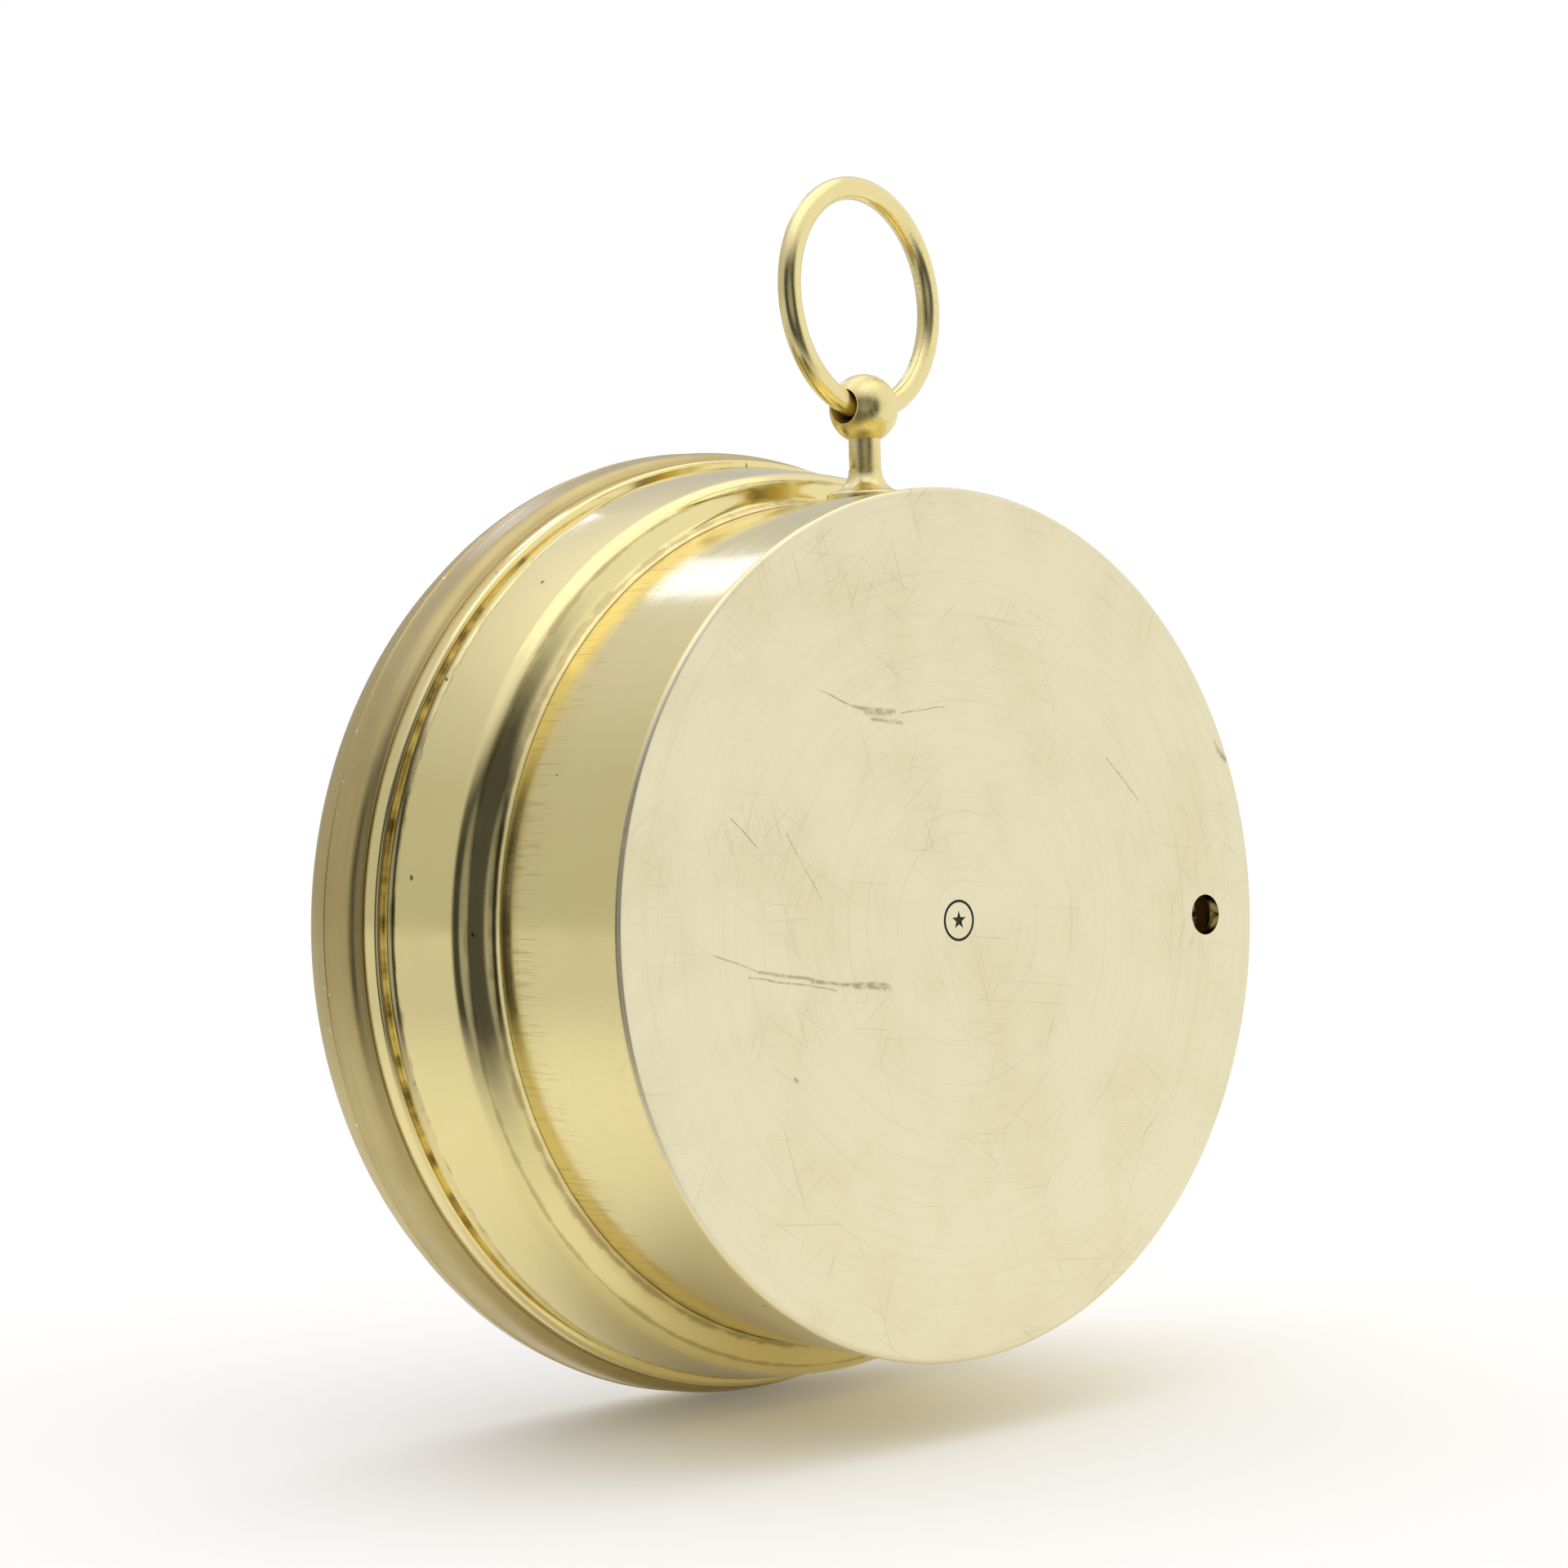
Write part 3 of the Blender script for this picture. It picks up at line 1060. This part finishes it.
def area_light(name, place, target, size, radiance, colour="#ffffff"):
    """A soft square lamp, by its place, what it faces, its side and its brightness."""
    clear_selection()
    bpy.ops.object.light_add(type="AREA", location=place)
    lamp = bpy.context.object
    lamp.name = name
    lamp.data.shape = "SQUARE"
    lamp.data.size = size
    lamp.data.energy = radiance * math.pi * size**2
    lamp.data.color = linear(colour)
    lamp.rotation_euler = (Vector(target) - Vector(place)).to_track_quat("-Z", "Y").to_euler()
    return lamp


class BAROMETER_OT_stage(bpy.types.Operator):
    """Set up the camera, the floor and the soft light"""

    bl_idname = "barometer.stage"
    bl_label = "Stage"

    def execute(self, context):
        scene = context.scene
        azimuth, elevation, roll = (math.radians(a) for a in (139.48, -0.61, -1.51))
        distance, right_shift, up_shift = 377.9 * MM, -22.5 * MM, 18.3 * MM
        back = Vector((math.sin(azimuth) * math.cos(elevation), -math.cos(azimuth) * math.cos(elevation),
                       math.sin(elevation)))
        right = (-back).cross(Vector((0, 0, 1))).normalized()
        up = right.cross(-back)
        camera_right = right * math.cos(roll) + up * math.sin(roll)
        camera_up = up * math.cos(roll) - right * math.sin(roll)
        bpy.ops.object.camera_add()
        camera = context.object
        camera.data.lens = 68.23
        camera.data.clip_start, camera.data.clip_end = 0.01, 50
        turn = Matrix((camera_right, camera_up, back)).transposed().to_4x4()
        camera.matrix_world = Matrix.Translation(back * distance + right * right_shift + up * up_shift) @ turn
        scene.camera = camera
        scene.view_settings.view_transform = "Standard"

        clear_selection()
        bpy.ops.mesh.primitive_circle_add(vertices=96, radius=2, fill_type="NGON",
                                          location=(0, 0, CAD_BOX[0].z - 0.0005))
        floor = named("floor")
        bpy.ops.object.transform_apply(location=True)
        floor.data.materials.append(white_paper("white_paper_sweep"))

        world = bpy.data.worlds.new("soft_tent")
        world.use_nodes = True
        scene.world = world
        tree = world.node_tree
        tree.nodes.clear()
        direction = put(tree, "TexCoord", out="Generated")
        height = put(tree, "SeparateXYZ", direction, out=2)
        half = put(tree, "MULTIPLY", put(tree, "ADD", height, 1.0), 0.5)
        ramp = put(tree, "ValToRGB", half)
        ramp.node.color_ramp.elements[0].color = (0.6, 0.6, 0.6, 1)
        ramp.node.color_ramp.elements[1].color = (1.12, 1.12, 1.22, 1)
        for rise, level, blue in (
            (-0.5, 0.55, 1.0), (-0.25, 0.7, 1.0), (-0.02, 0.74, 1.0), (0.01, 0.57, 0.95), (0.42, 0.6, 1.0),
            (0.62, 0.74, 1.1), (0.78, 1.0, 1.12),
        ):
            stop = ramp.node.color_ramp.elements.new((rise + 1) / 2)
            stop.color = (level, level, level * blue, 1)
        side = put(tree, "VectorMath", direction, right, operation="DOT_PRODUCT", out="Value")
        away = put(tree, "VectorMath", direction, -back, operation="DOT_PRODUCT", out="Value")
        towards = put(tree, "MULTIPLY", away, -1.0)
        white = put(tree, "SPAN", side, 0.0, 0.5)
        tent = put(tree, "BLEND", white, ramp, (0.97, 0.97, 0.98))
        opening = put(tree, "SPAN", towards, 0.42, 0.74, 0.0, 0.95)
        middle = put(tree, "SPAN", towards, 0.9, 0.985, 1.0, 0.5)
        opening = put(tree, "MULTIPLY", opening, middle)
        opening = put(tree, "MULTIPLY", opening, put(tree, "SPAN", height, 0.35, 0.7, 1.0, 0.0))
        tent = put(tree, "BLEND", opening, tent, (0.03, 0.03, 0.03))
        seen = put(tree, "LightPath", out="Is Camera Ray")
        shown = put(tree, "BLEND", seen, tent, (1.0, 1.0, 1.0))
        light = put(tree, "Background", shown, 1.0)
        tree.links.new(light, tree.nodes.new("ShaderNodeOutputWorld").inputs["Surface"])

        area_light("top_lamp", (0.0, 0.0, 1.1), (0, 0, 0), 1.3, 0.3)
        area_light("left_lamp", (-0.20, -0.80, 0.62), (0, -0.015, 0.04), 0.17, 2.0, "#b9c8ff")
        return {"FINISHED"}


OPERATORS = (
    BAROMETER_OT_stage, BAROMETER_OT_cad_finishes, BAROMETER_OT_drum, BAROMETER_OT_collar, BAROMETER_OT_bezel,
    BAROMETER_OT_pendant, BAROMETER_OT_ring, BAROMETER_OT_glass, BAROMETER_OT_dial, BAROMETER_OT_knob,
    BAROMETER_OT_hands, BAROMETER_OT_capsule, BAROMETER_OT_chain, BAROMETER_OT_spring,
)


class BAROMETER_PT_panel(bpy.types.Panel):
    """Lists the steps that make the barometer"""

    bl_label = "Marine Barometer"
    bl_idname = "BAROMETER_PT_panel"
    bl_space_type = "VIEW_3D"
    bl_region_type = "UI"
    bl_category = "Barometer"

    def draw(self, context):
        for group in (context.scene.barometer_sizes, context.scene.barometer_colours):
            for name in group.__annotations__:
                self.layout.prop(group, name)
        for operator in OPERATORS:
            self.layout.operator(operator.bl_idname)


CLASSES = (BarometerSizes, BarometerColours, *OPERATORS, BAROMETER_PT_panel)


def register():
    for cls in CLASSES:
        bpy.utils.register_class(cls)
    bpy.types.Scene.barometer_sizes = bpy.props.PointerProperty(type=BarometerSizes)
    bpy.types.Scene.barometer_colours = bpy.props.PointerProperty(type=BarometerColours)


def unregister():
    del bpy.types.Scene.barometer_colours
    del bpy.types.Scene.barometer_sizes
    for cls in reversed(CLASSES):
        bpy.utils.unregister_class(cls)


def main():
    register()
    make_finishes(bpy.context.scene.barometer_colours)
    for operator in OPERATORS:
        category, name = operator.bl_idname.split(".")
        getattr(getattr(bpy.ops, category), name)()


if __name__ == "__main__":
    main()
